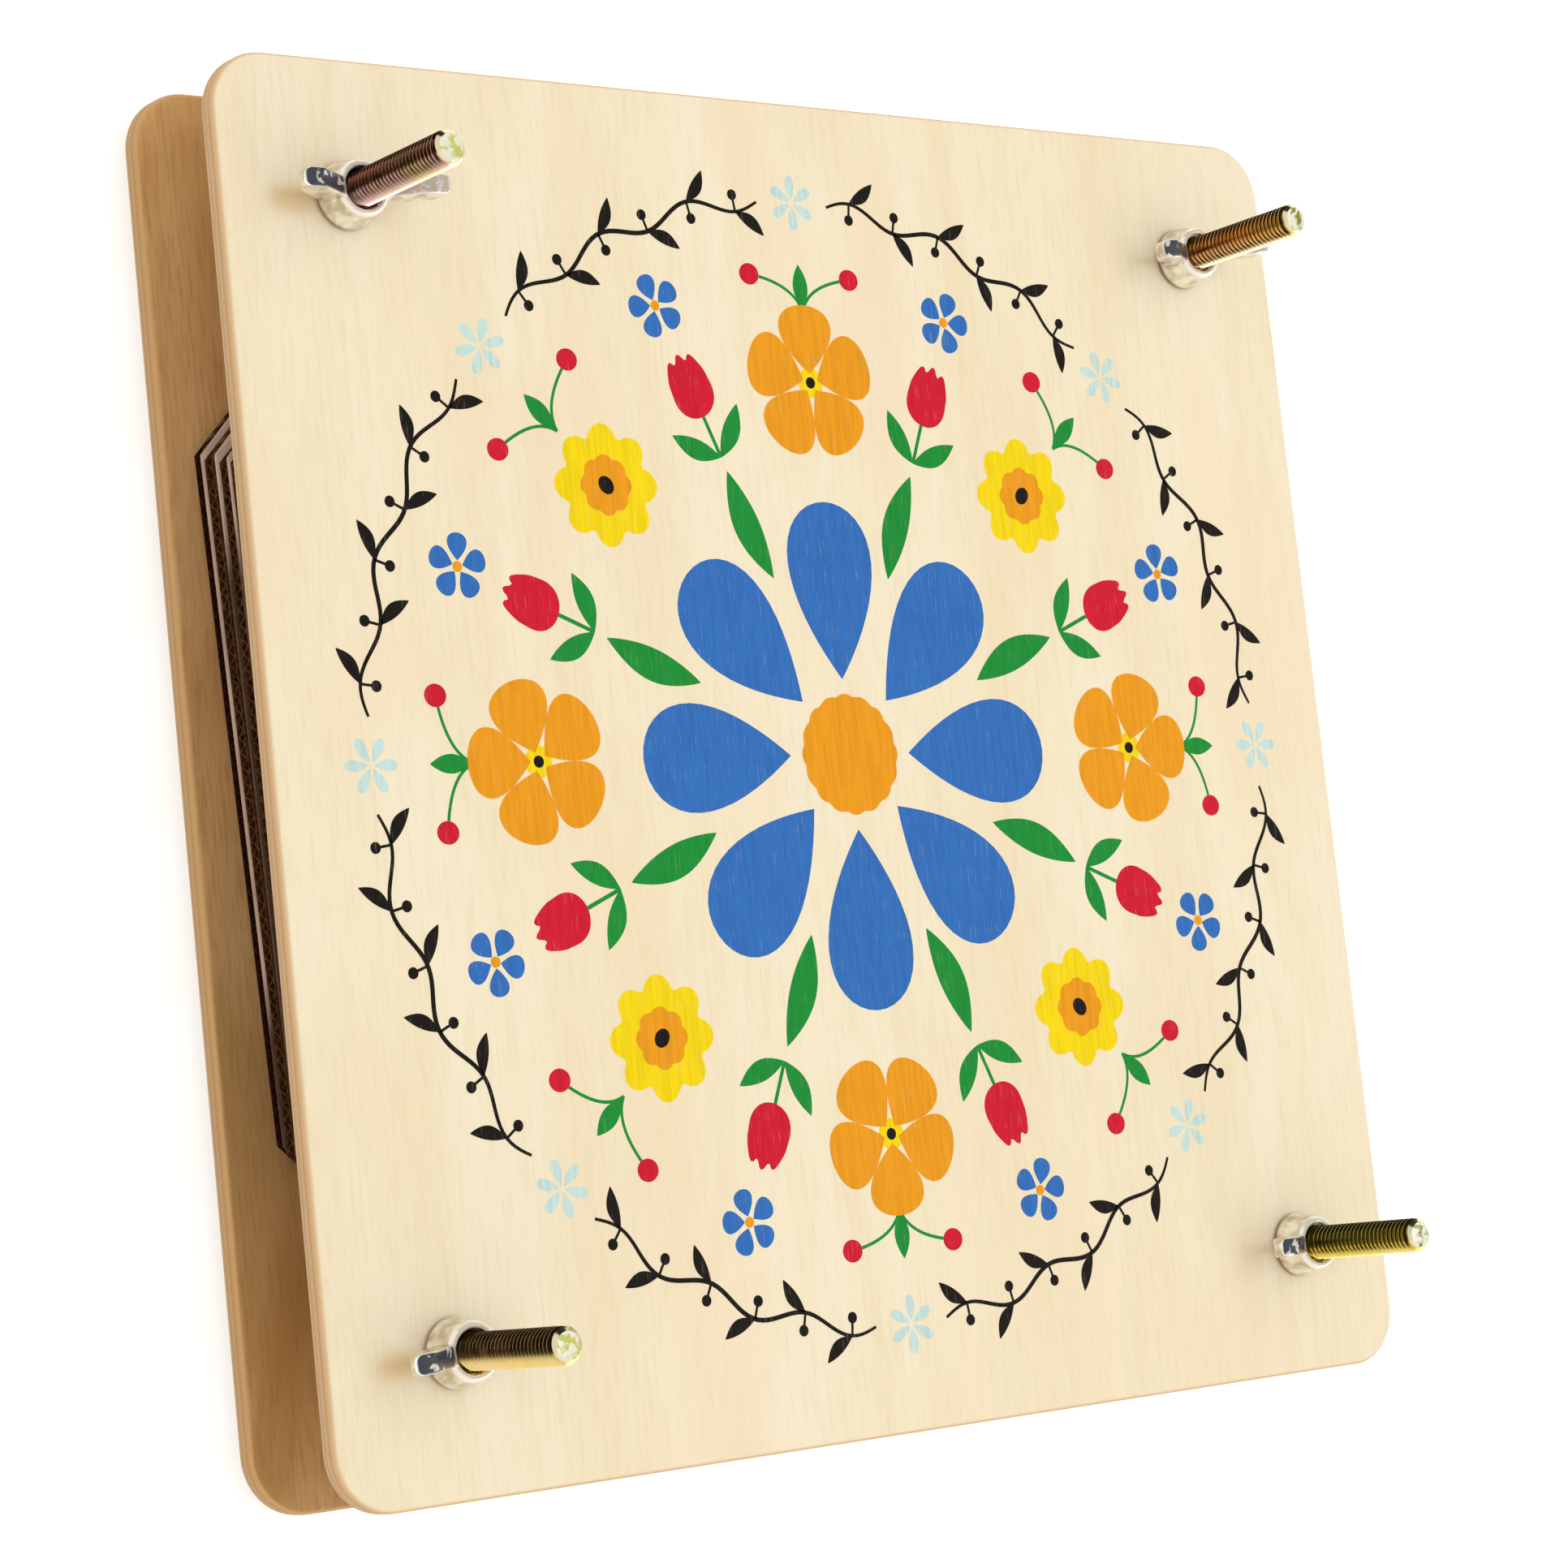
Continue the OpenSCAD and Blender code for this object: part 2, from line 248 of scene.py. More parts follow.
def joined(name, patches):
    """One mesh from pairs of points and faces. Points that lie together are merged, and so are faces that have
    shrunk to a line."""
    points, faces, start = [], [], 0
    for patch_points, patch_faces in patches:
        points.append(patch_points)
        faces += [[start + corner for corner in face] for face in patch_faces]
        start += len(patch_points)
    mesh = bpy.data.meshes.new(name)
    mesh.from_pydata((np.concatenate(points) * MM).tolist(), [], faces)
    surface = bmesh.new()
    surface.from_mesh(mesh)
    bmesh.ops.remove_doubles(surface, verts=surface.verts, dist=0.0005 * MM)
    surface.to_mesh(mesh)
    surface.free()
    return mesh


def skin(rings, first_end=True, last_end=True):
    """The points and faces over rings of points, given as an array of rings by points by 3. Neighbouring rings are
    joined by quads all the way round, and one face closes the first ring and one the last, where asked."""
    count, around = rings.shape[:2]
    here = np.arange(count * around).reshape(count, around)
    after = np.roll(here, -1, axis=1)
    faces = np.stack([here[:-1], after[:-1], after[1:], here[1:]], axis=-1).reshape(-1, 4).tolist()
    faces += [here[0, ::-1].tolist()] * first_end + [here[-1].tolist()] * last_end
    return rings.reshape(-1, 3), faces


def finished(name, mesh, material, sharp=35):
    """Puts a mesh in the scene as a piece, smooth except across edges sharper than this angle."""
    mesh.polygons.foreach_set("use_smooth", np.ones(len(mesh.polygons), bool))
    mesh.set_sharp_from_angle(angle=math.radians(sharp))
    mesh.materials.append(material)
    mesh.update()
    piece = bpy.data.objects.new(name, mesh)
    bpy.context.scene.collection.objects.link(piece)
    return piece


def thread_surface(x, y):
    """A V with narrow flats, wound on as four lines for each turn: both edges of the crest and both edges of the root.
    A line's height is its share of the pitch plus one pitch for each turn of the angle, held between the neck and the
    tip. The thread rises from its root over the run in, and the band from each line to the next is filled with
    quads."""
    length = tip_at - head_foot
    turns = int(length / pitch) + 2
    steps = np.arange(turns * turn_columns)
    angle = 2 * math.pi * (steps % turn_columns) / turn_columns
    reached = neck_end - pitch + pitch * steps / turn_columns + pitch * np.array(crest_and_root_shares)[:, None]
    full = np.repeat(np.array([crest, crest, root, root])[:, None], len(steps), 1)
    reached = np.clip(reached, neck_end, length)
    begun = np.clip((reached - neck_end) / run_in, 0, 1)
    radius = root + (full - root) * begun
    radius = np.minimum(radius, crest - np.clip(reached - (length - bolt_chamfer), 0, None))
    points = np.stack([x + radius * np.cos(angle), y + radius * np.sin(angle), head_foot + reached], axis=-1)
    line = np.arange(4 * len(steps)).reshape(4, len(steps))
    here, ahead = line[:, : -turn_columns - 1], line[:, 1:-turn_columns]
    above = np.vstack([line[1:, : -turn_columns - 1], line[:1, turn_columns:-1]])
    above_ahead = np.vstack([line[1:, 1:-turn_columns], line[:1, turn_columns + 1 :]])
    quads = np.stack([here, ahead, above_ahead, above], axis=-1).reshape(-1, 4)
    return points.reshape(-1, 3), quads.tolist()


def turned_rings(x, y, radius, height):
    """Rings round a bolt's axis at each height above the foot of its head, with one radius for each ring or one for
    each point."""
    angle = 2 * math.pi * np.arange(turn_columns) / turn_columns
    radius = np.broadcast_to(np.reshape(radius, (len(height), -1)), (len(height), turn_columns))
    raised = np.repeat(head_foot + np.asarray(height)[:, None], turn_columns, 1)
    return np.stack([x + radius * np.cos(angle), y + radius * np.sin(angle), raised], axis=-1)


def coach_bolt(name, x, y):
    """The head is a cap of a sphere under an upright rim with rounded edges. The neck is square: its radius is its half
    width over the larger of the cosine and the sine of the angle. The end is flat round its edge and a little dished
    inside."""
    dome = head_rise - head_rim
    sphere = (head_radius**2 + dome**2) / (2 * dome)
    out = np.linspace(0.02, 1, 16) ** 0.8 * (head_radius - head_round / 2)
    cap = sphere - head_rise - np.sqrt(sphere**2 - out**2)
    head_radii = np.concatenate([out, [head_radius, head_radius, head_radius - head_round]])
    head_heights = np.concatenate([cap, [-head_rim + 1.2 * head_round, -1.2 * head_round, 0.0]])
    head = turned_rings(x, y, head_radii, head_heights)

    angle = 2 * math.pi * np.arange(turn_columns) / turn_columns
    square = neck_half / np.maximum(np.abs(np.cos(angle)), np.abs(np.sin(angle)))
    neck_radii = np.stack([square, square, np.full_like(square, root)])
    neck = turned_rings(x, y, neck_radii, [0.0, neck_end - neck_taper, neck_end])

    length = tip_at - head_foot
    flat_shares = np.array([1.0, 0.86, 0.8, 0.4])
    tip_heights = [length, length, length - tip_dish, length - tip_dish]
    tip = turned_rings(x, y, (crest - bolt_chamfer) * flat_shares, tip_heights)
    bottom = skin(np.concatenate([head, neck]), last_end=False)
    return joined(name, [bottom, thread_surface(x, y), skin(tip, first_end=False)])


# How far a place lies from the axis of its own bolt: to the right, towards the top of the print, and in all
offset_group, offset_in, offset_out = new_group(
    "from_own_bolt",
    {"Place": "NodeSocketVector"},
    {"East": "NodeSocketFloat", "North": "NodeSocketFloat", "Radius": "NodeSocketFloat"},
)
squares = []
for axis, label in (("X", "East"), ("Y", "North")):
    far = split(offset_group, offset_in.outputs["Place"])[axis]
    own_bolt = maths(offset_group, "MULTIPLY", maths(offset_group, "SIGN", far), bolt_out * MM)
    offset = maths(offset_group, "SUBTRACT", far, own_bolt)
    offset_group.links.new(offset, offset_out.inputs[label])
    squares.append(maths(offset_group, "MULTIPLY", offset, offset))
offset_group.links.new(maths(offset_group, "SQRT", maths(offset_group, "ADD", *squares)), offset_out.inputs["Radius"])


def from_own_bolt(tree, place):
    """The outputs East, North and Radius of a place, in metres."""
    return put(tree, "ShaderNodeGroup", {"Place": place}, node_tree=offset_group).outputs


def yellow_zinc():
    """Yellow passivated zinc is not one colour. The film is thicker on some bolts, which turns it from olive to brown
    gold, black brown and maroon. On the thread the lower side is paler, a painted reflection, the roots are darker,
    a painted shade, and the crests carry a painted highlight. The sheared ends are dull, nearly white and a little
    green, and the chamfers are a pale straw, a painted highlight."""
    material, tree, shader, coordinates = new_material("yellow_zinc")
    place = coordinates.outputs["Object"]
    position = split(tree, place)
    across = maths(tree, "MULTIPLY", position["X"], -2.7)
    upward = maths(tree, "MULTIPLY", position["Y"], 1.5)
    patches = maths(tree, "MULTIPLY", maths(tree, "SUBTRACT", noise(tree, place, (60, 60, 75), 2, 0.6), 0.5), 0.7)
    film = maths(tree, "ADD", maths(tree, "ADD", across, upward), maths(tree, "ADD", patches, 0.5))
    sides = []
    # The second set of tones is the paler lower side of the thread, a painted reflection
    for tones in (
        (colour(164, 156, 74), colour(236, 174, 96), colour(122, 98, 58), colour(142, 82, 66)),
        (colour(236, 208, 96), colour(252, 212, 164), colour(238, 212, 118), colour(250, 204, 196)),
    ):
        ramp = put(tree, "ShaderNodeValToRGB", {"Fac": film})
        stops = ramp.color_ramp.elements
        stops[0].position, stops[0].color = 0.12, tones[0]
        stops[1].position, stops[1].color = 0.90, tones[3]
        stops.new(0.38).color = tones[1]
        stops.new(0.64).color = tones[2]
        sides.append(ramp.outputs[0])
    near = from_own_bolt(tree, place)
    on_thread = maths(tree, "GREATER_THAN", position["Z"], (head_foot + neck_end) * MM)
    # Painted reflection: the thread is paler on its lower side
    facing_down = between(tree, maths(tree, "DIVIDE", near["North"], near["Radius"]), -0.2, -0.5)
    painted_lower_sheen = maths(tree, "ADD", maths(tree, "MULTIPLY", on_thread, maths(tree, "SUBTRACT", facing_down, 0.5)), 0.5)
    plated = blend_colours(tree, painted_lower_sheen, sides[0], sides[1])
    # Painted shade: darker in the thread's roots, less so on the lower side
    from_root = between(tree, near["Radius"], (root + 0.07) * MM, (crest - 0.05) * MM, 0.4, 0.0)
    painted_root_shade = maths(tree, "MULTIPLY", from_root, on_thread)
    painted_root_shade = maths(tree, "MULTIPLY", painted_root_shade, between(tree, facing_down, 0, 1, 1, 0.3))
    plated = blend_colours(tree, painted_root_shade, plated, colour(34, 24, 16))
    # Painted highlight along the crests of the thread
    painted_crest_highlight = between(tree, near["Radius"], (crest - 0.07) * MM, (crest - 0.02) * MM, 0.0, 0.2)
    plated = blend_colours(tree, maths(tree, "MULTIPLY", painted_crest_highlight, on_thread), plated, colour(252, 226, 184))
    at_end = maths(tree, "GREATER_THAN", position["Z"], (tip_at - 0.4) * MM)
    facing_up = split(tree, coordinates.outputs["Normal"])["Z"]
    sheared = maths(tree, "MULTIPLY", between(tree, facing_up, 0.9, 0.97), at_end)
    # Painted highlight: the chamfer is a pale straw
    chamfered = between(tree, position["Z"], (tip_at - 0.95) * MM, (tip_at - 0.7) * MM, 0.0, 0.8)
    plated = blend_colours(tree, chamfered, plated, colour(238, 230, 186))
    crinkle = noise(tree, place, (700, 700, 700), 3, 0.8)
    tinge = blend_colours(tree, between(tree, film, 0.4, 0.7), colour(146, 150, 52), colour(214, 220, 108))
    end_tone = blend_colours(tree, between(tree, crinkle, 0.48, 0.62), colour(250, 250, 238), tinge)
    tree.links.new(blend_colours(tree, sheared, plated, end_tone), shader.inputs["Base Color"])
    tree.links.new(between(tree, sheared, 0.0, 1.0, 1.0, 0.15), shader.inputs["Metallic"])
    smear = noise(tree, place, (500, 500, 500), 3)
    polish = between(tree, smear, 0.3, 0.7, 0.1, 0.2)
    dull = maths(tree, "MULTIPLY", sheared, 0.3)
    tree.links.new(maths(tree, "ADD", polish, dull), shader.inputs["Roughness"])
    roughen(tree, shader, smear, 0.12, 0.05)
    return material


bolt_finish = yellow_zinc()
for corner, (x, y) in bolt_places.items():
    name = "coach_bolt_" + corner
    bolt = finished(name, coach_bolt(name, x, y), bolt_finish)
    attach(bolt, "press_base")
    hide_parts("bolt_" + corner)


# Corrugated cards
# Six squares of single-wall card in brown kraft, cut with a hot beam that has scorched their edges nearly black. The
# corners are cut off to pass the bolts, and the stack lies turned a little.
stack_turn, sheet_half, flute_pitch = 1.9, 107.0, 2.35


def along_sheet(tree, place):
    """A point's place in a sheet's own directions, with X across its flutes' open ends."""
    turned_back = (0, 0, math.radians(-stack_turn))
    return split(tree, put(tree, "ShaderNodeMapping", {"Vector": place, "Rotation": turned_back}).outputs[0])


def kraft_card():
    """Brown kraft with the flutes showing faintly through the liners. The scorch is a dark brown on the cut edges,
    nearly black on the rear card. The same dark tone runs some 2 mm into the flutes from the left and right edges,
    partly scorch and partly painted shade of the hollow flutes."""
    material, tree, shader, coordinates = new_material("kraft_card")
    place = coordinates.outputs["Object"]
    facing = maths(tree, "ABSOLUTE", split(tree, coordinates.outputs["Normal"])["Z"])
    own = along_sheet(tree, place)
    fibres = noise(tree, place, (1400, 1400, 1400), 4, 1.0)
    clouds = noise(tree, place, (90, 90, 90), 3)
    flute = maths(tree, "COSINE", maths(tree, "MULTIPLY", own["Y"], 2 * math.pi / (flute_pitch * MM)))
    face = blend_colours(tree, between(tree, clouds, 0.3, 0.7), colour(186, 146, 104), colour(168, 128, 88))
    face = blend_colours(tree, between(tree, fibres, 0.45, 0.75, 0.0, 0.5), face, colour(136, 98, 64))
    face = blend_colours(tree, between(tree, flute, 0.2, 1.0, 0.0, 0.12), face, colour(120, 86, 56))
    rear_card = between(tree, split(tree, place)["Z"], 10.5 * MM, 10.0 * MM)
    pale_scorch = blend_colours(tree, rear_card, colour(116, 74, 40), colour(70, 30, 14))
    deep_scorch = blend_colours(tree, rear_card, colour(54, 32, 15), colour(36, 14, 6))
    scorched = blend_colours(tree, between(tree, fibres, 0.35, 0.7), deep_scorch, pale_scorch)
    way_out = maths(tree, "ADD", maths(tree, "ABSOLUTE", own["X"]), maths(tree, "MULTIPLY", clouds, 1 * MM))
    # Partly scorch, partly painted shade: dark some 2 mm into the hollow flutes from the left and right edges
    scorch_and_shade_near_edge = between(tree, way_out, (sheet_half - 2.5) * MM, (sheet_half - 0.2) * MM)
    on_edge = between(tree, facing, 0.6, 0.9, 1.0, 0.0)
    scorch_and_shade = maths(tree, "MAXIMUM", on_edge, scorch_and_shade_near_edge)
    tree.links.new(blend_colours(tree, scorch_and_shade, face, scorched), shader.inputs["Base Color"])
    shader.inputs["Roughness"].default_value = 0.85
    shader.inputs["Specular IOR Level"].default_value = 0.15
    roughen(tree, shader, maths(tree, "ADD", maths(tree, "MULTIPLY", flute, 0.4), fibres), 0.35, 0.08)
    return material


card_finish = kraft_card()
for number in range(1, 7):
    wear(f"card_{number}", card_finish)


# Blotting papers
# Ten soft unsized papers of the same outline, two in each gap between the cards, grey white with a mauve cast and
# with fibres that stand up a little from the surface. Painted shade darkens their left edges to brown towards the
# foot of the print.
def blotting_paper():
    """Painted shade: the rear two papers' left edges are brown from some 30 mm below the middle of the print, and the
    others' from some 44 mm above it. The brown runs on for 2 mm or so from the left edge."""
    rear_pair_lower = 73
    material, tree, shader, coordinates = new_material("blotting_paper")
    place = coordinates.outputs["Object"]
    position = split(tree, place)
    facing = maths(tree, "ABSOLUTE", split(tree, coordinates.outputs["Normal"])["Z"])
    fibres = noise(tree, place, (1800, 1800, 1800), 4, 1.5)
    clouds = noise(tree, place, (130, 130, 130), 3)
    face = blend_colours(tree, between(tree, clouds, 0.3, 0.7), colour(246, 230, 224), colour(236, 216, 208))
    edge = blend_colours(tree, between(tree, clouds, 0.3, 0.7), colour(228, 204, 192), colour(206, 178, 164))
    whole = blend_colours(tree, between(tree, facing, 0.6, 0.9), edge, face)
    # Painted shade: the left edges darken to brown towards the foot of the print
    rear_pair = between(tree, position["Z"], 12.6 * MM, 12.2 * MM)
    height_up = maths(tree, "ADD", position["Y"], maths(tree, "MULTIPLY", rear_pair, rear_pair_lower * MM))
    height_up = maths(tree, "ADD", height_up, maths(tree, "MULTIPLY", clouds, 6 * MM))
    left = between(tree, along_sheet(tree, place)["X"], (3 - sheet_half) * MM, (1 - sheet_half) * MM)
    painted_edge_shade = maths(tree, "MULTIPLY", left, between(tree, height_up, 34 * MM, 48 * MM, 0.92, 0.0))
    whole = blend_colours(tree, painted_edge_shade, whole, colour(74, 46, 28))
    whole = blend_colours(tree, between(tree, fibres, 0.5, 0.8, 0.0, 0.3), whole, colour(168, 158, 150))
    tree.links.new(whole, shader.inputs["Base Color"])
    shader.inputs["Roughness"].default_value = 0.95
    shader.inputs["Specular IOR Level"].default_value = 0.2
    roughen(tree, shader, fibres, 0.4, 0.06)
    return material


paper_finish = blotting_paper()
for number in range(1, 11):
    wear(f"blotter_{number}", paper_finish)


# Front board
# The same plywood, chosen for its palest veneer and sealed with a thin matt lacquer. Four plain holes let it slide
# on the bolts. A soft tan shadow of each of the two left nuts is painted on its face.
front_board_foot = 28.24
face_at = front_board_foot + board_thick
# Where the painted shadows of the left nuts lie from their bolts, and their half sizes, in mm
nut_shadow_middle, nut_shadow_half_size = (-9.8, -0.9), (5.5, 3.0)


def painted_nut_shadows(tree, place, face):
    """A painted shadow: a soft tan oval to the left of each left bolt. A point's way out is the root of its squared
    offsets from the oval's middle, each divided by the oval's half size."""
    near = from_own_bolt(tree, place)
    squares = []
    for label, middle, half in zip(("East", "North"), nut_shadow_middle, nut_shadow_half_size):
        way = maths(tree, "DIVIDE", maths(tree, "SUBTRACT", near[label], middle * MM), half * MM)
        squares.append(maths(tree, "MULTIPLY", way, way))
    way_out = maths(tree, "SQRT", maths(tree, "ADD", *squares))
    left_half = maths(tree, "LESS_THAN", split(tree, place)["X"], 0.0)
    # Painted shadow: tan to the left of the two left nuts
    painted_shadow_share = maths(tree, "MULTIPLY", between(tree, way_out, 0.2, 1.25, 0.6, 0.0), left_half)
    return blend_colours(tree, painted_shadow_share, face, colour(232, 192, 132))


wear("front_board", birch(
    "birch_front", front_board_foot * MM,
    pale=colour(250, 241, 219), deep=colour(247, 233, 205), fibre_tone=colour(230, 206, 168),
    flush=colour(250, 229, 203), figured=1.2,
    edge_pale=colour(238, 202, 160), edge_deep=colour(234, 194, 148), rim=colour(236, 202, 168),
    arris=colour(247, 214, 172), glue=colour(206, 164, 116), marks=painted_nut_shadows,
))


# Printed design
# Seven inks screen printed on the front face, each a film a few hundredths of a millimetre thick: a blue rosette in
# a wreath of orange, yellow and red flowers, with a black vine round it.
film_back, film_step = 0.05, 0.002  # How far a film reaches into the board, and how much its shapes differ in height
# Distances of the motifs from the middle of the face
rosette_foot, rosette_leaf, stem_foot, tulip_out, flower_out = 13, 33, 55.5, 63, 65
twig_foot, twig_bend, star_out, berry_out, vine_out = 77.5, 82.5, 83.5, 84.5, 97


def at(points, radius, bearing, turn=0.0):
    """Turns points and carries them out from the middle of the face along a bearing, in degrees clockwise from the
    top. At turn 0, what points along x points away from the middle."""
    outward = math.radians(90 - bearing)
    tilt = outward + math.radians(turn)
    spin = np.array([[math.cos(tilt), math.sin(tilt)], [-math.sin(tilt), math.cos(tilt)]])
    return points @ spin + radius * np.array([math.cos(outward), math.sin(outward)])


def spot(radius, bearing):
    """The place at this distance from the middle of the face, on this bearing."""
    return at(np.zeros((1, 2)), radius, bearing)[0]


def petal(length, width, count=40):
    """Along x it goes out and back as half of one less the cosine of the angle. Across, it is the sine of the angle
    times the sine of half of it, so the foot is pointed and the far end is round."""
    t = np.linspace(0, 2 * math.pi, count, endpoint=False)
    return np.stack([length * (1 - np.cos(t)) / 2, width / 1.54 * np.sin(t) * np.abs(np.sin(t / 2))], axis=-1)


def leaf(length, width, bow=0.0, count=36):
    """Two arcs that meet in points at both ends: half a sine across, bowed sideways by another half sine."""
    t = np.linspace(0, 2, count, endpoint=False)
    share = np.where(t < 1, t, 2 - t)
    side = np.where(t < 1, -1, 1) * np.sin(math.pi * share) ** 0.9 * width / 2
    return np.stack([length * share, side + bow * np.sin(math.pi * share)], axis=-1)


def round_flower(radius, lobes, dip, count=72):
    """A circle whose radius dips by a share between its lobes, as the size of a cosine of the angle."""
    t = np.linspace(0, 2 * math.pi, count, endpoint=False)
    reach = radius * (1 - dip + dip * np.abs(np.cos(lobes * t / 2)) ** 0.8)
    return np.stack([reach * np.cos(t), reach * np.sin(t)], axis=-1)


def oval(long, wide, count=28):
    """An ellipse with these half sizes."""
    t = np.linspace(0, 2 * math.pi, count, endpoint=False)
    return np.stack([long * np.cos(t), wide * np.sin(t)], axis=-1)


def tulip(height, width, count=48):
    """The lower half of an oval below a rim with three points, which rise as the size of a cosine."""
    t = np.linspace(0, 2 * math.pi, count, endpoint=False)
    across = width / 2 * np.sin(t) * (1 + 0.16 * np.cos(t))
    cup, dip = 0.45, 0.28  # The oval's share of the height, and the dips' share of the rim
    points = 1 - dip + dip * np.abs(np.cos(1.5 * math.pi * np.sin(t)))
    rim = (1 - cup) * np.sqrt(np.abs(np.cos(t))) * points
    along = np.where(np.cos(t) > 0, -cup * np.cos(t), rim)
    return np.stack([height * (along + cup), -across], axis=-1)


def straight(length, count):
    """A line of points along x."""
    return np.stack([np.linspace(0, length, count), np.zeros(count)], axis=-1)


def stroke(middle, width):
    """A band along a line of points, with one width or one for each point."""
    way = np.gradient(middle, axis=0)
    way /= np.linalg.norm(way, axis=1, keepdims=True)
    off = np.stack([-way[:, 1], way[:, 0]], axis=-1) * np.reshape(width, (-1, 1)) / 2
    return np.concatenate([middle - off, (middle + off)[::-1]])


def ring_line(radius, start, end, ripple, ripples, count=60):
    """A line round the middle of the face, from one bearing to another, that ripples in and out as a sine."""
    share = np.linspace(0, 1, count)
    bearing = np.radians(90 - (start + (end - start) * share))
    reach = radius + ripple * np.sin(2 * math.pi * ripples * share)
    return np.stack([reach * np.cos(bearing), reach * np.sin(bearing)], axis=-1)


def blossom(shape, count, radius, bearing):
    """Petals all round one spot of the face, the first of them pointing outwards."""
    return [at(shape, 0, bearing, 360 / count * step) + spot(radius, bearing) for step in range(count)]


def film(name, shapes, lift):
    """One mesh of thin closed plates, one for each outline, from just inside the board to lift above its face. Each
    plate has a front, a back, and a wall round it. Neighbours in the list differ a hair in height."""
    points, faces, start = [], [], 0
    for number, shape in enumerate(shapes):
        area = np.sum(shape[:, 0] * np.roll(shape[:, 1], -1) - np.roll(shape[:, 0], -1) * shape[:, 1])
        shape = shape if area > 0 else shape[::-1]
        count = len(shape)
        for height in (face_at + lift + film_step * (number % 4), face_at - film_back):
            points.append(np.column_stack([shape, np.full(count, height)]))
        first = start + np.arange(count)
        following = np.roll(first, -1)
        faces.append(first.tolist())
        faces.append((first[::-1] + count).tolist())
        faces += np.stack([first, first + count, following + count, following], axis=-1).tolist()
        start += 2 * count
    mesh = bpy.data.meshes.new(name)
    mesh.from_pydata((np.concatenate(points) * MM).tolist(), [], faces)
    return mesh


def ink(name, tone, thin):
    """Screen ink on birch. The fibres under it show as slightly darker streaks, and over the pores it is thin."""
    material, tree, shader, coordinates = new_material(name)
    veneer = put(tree, "ShaderNodeGroup", {"Place": coordinates.outputs["Object"]}, node_tree=grain_group).outputs
    darker = tuple(channel * 0.87 for channel in tone[:3]) + (1.0,)
    body = blend_colours(tree, between(tree, veneer["Fibre"], 0.35, 0.7), tone, darker)
    body = blend_colours(tree, maths(tree, "MULTIPLY", veneer["Pores"], thin), body, colour(240, 222, 186))
    tree.links.new(body, shader.inputs["Base Color"])
    shader.inputs["Roughness"].default_value = 0.65
    shader.inputs["Specular IOR Level"].default_value = 0.15
    roughen(tree, shader, veneer["Height"], 0.3, 0.06)
    return material


eighths = range(0, 360, 45)
halfway = [bearing + 22.5 for bearing in eighths]
blues, oranges, yellows, greens, reds, blacks, pales = [], [], [], [], [], [], []

for bearing in eighths:
    blues.append(at(petal(31, 18.5), rosette_foot, bearing))
oranges.append(round_flower(10.5, 16, 0.06))
for bearing in halfway:
    greens.append(at(leaf(20, 5.6, 0.8), rosette_leaf, bearing))

for order, bearing in enumerate(eighths):
    if order % 2:
        yellows.append(at(round_flower(10.5, 8, 0.26), flower_out, bearing))
        oranges.append(at(round_flower(5.2, 8, 0.14), flower_out, bearing))
        blacks.append(at(oval(1.7, 1.4), flower_out, bearing))
    else:
        oranges += blossom(petal(12.2, 11.6) + (1.6, 0), 5, flower_out, bearing)
        yellows.append(at(oval(2.7, 2.7), flower_out, bearing))
        blacks.append(at(oval(1.0, 1.0), flower_out, bearing))

for bearing in halfway:
    reds.append(at(tulip(11.5, 8.6), tulip_out, bearing))
    greens.append(at(stroke(straight(8, 12), 0.7), stem_foot, bearing))
    greens.append(at(leaf(10.5, 3.6, 0.5), stem_foot, bearing, 48))
    greens.append(at(leaf(10.5, 3.6, -0.5), stem_foot, bearing, -48))
    blues += blossom(petal(4.6, 3.8) + (1.0, 0), 5, star_out, bearing)
    oranges.append(at(oval(0.9, 0.9), star_out, bearing))

for bearing in eighths:
    for side in (-1, 1):
        foot, bend = spot(twig_foot, bearing), spot(twig_bend, bearing + side)
        berry = spot(berry_out, bearing + side * 7.5)
        share = np.linspace(0, 1, 16)[:, None]
        path = (1 - share) ** 2 * foot + 2 * share * (1 - share) * bend + share**2 * berry
        greens.append(stroke(path, 0.55))
        reds.append(oval(2.1, 1.9) + berry)
    greens.append(at(leaf(8, 3.2), twig_foot + 0.5, bearing))

vine_gap, ripple = 4.6, 1.5
for bearing in eighths:
    start, end = bearing + vine_gap, bearing + 45 - vine_gap
    stem = ring_line(vine_out, start, end, ripple, 3)
    blacks.append(stroke(stem, 0.8 * np.sin(np.linspace(0.12, 0.88, len(stem)) * math.pi) ** 0.5))
    for step in range(6):
        side = -1 if step % 2 else 1
        bearing_here = start + (end - start) * (2 * step + 1) / 12
        foot = vine_out + ripple * side
        blacks.append(at(leaf(7.0, 2.3, -0.5 * side), foot, bearing_here, side * 42 - 90))
        blacks.append(at(stroke(straight(2.4, 8), 0.45), foot, bearing_here, 180 if side > 0 else 0))
        blacks.append(at(oval(0.95, 0.95), foot - 3.0 * side, bearing_here))
    pales += blossom(petal(4.4, 1.9) + (0.5, 0), 6, vine_out, bearing)

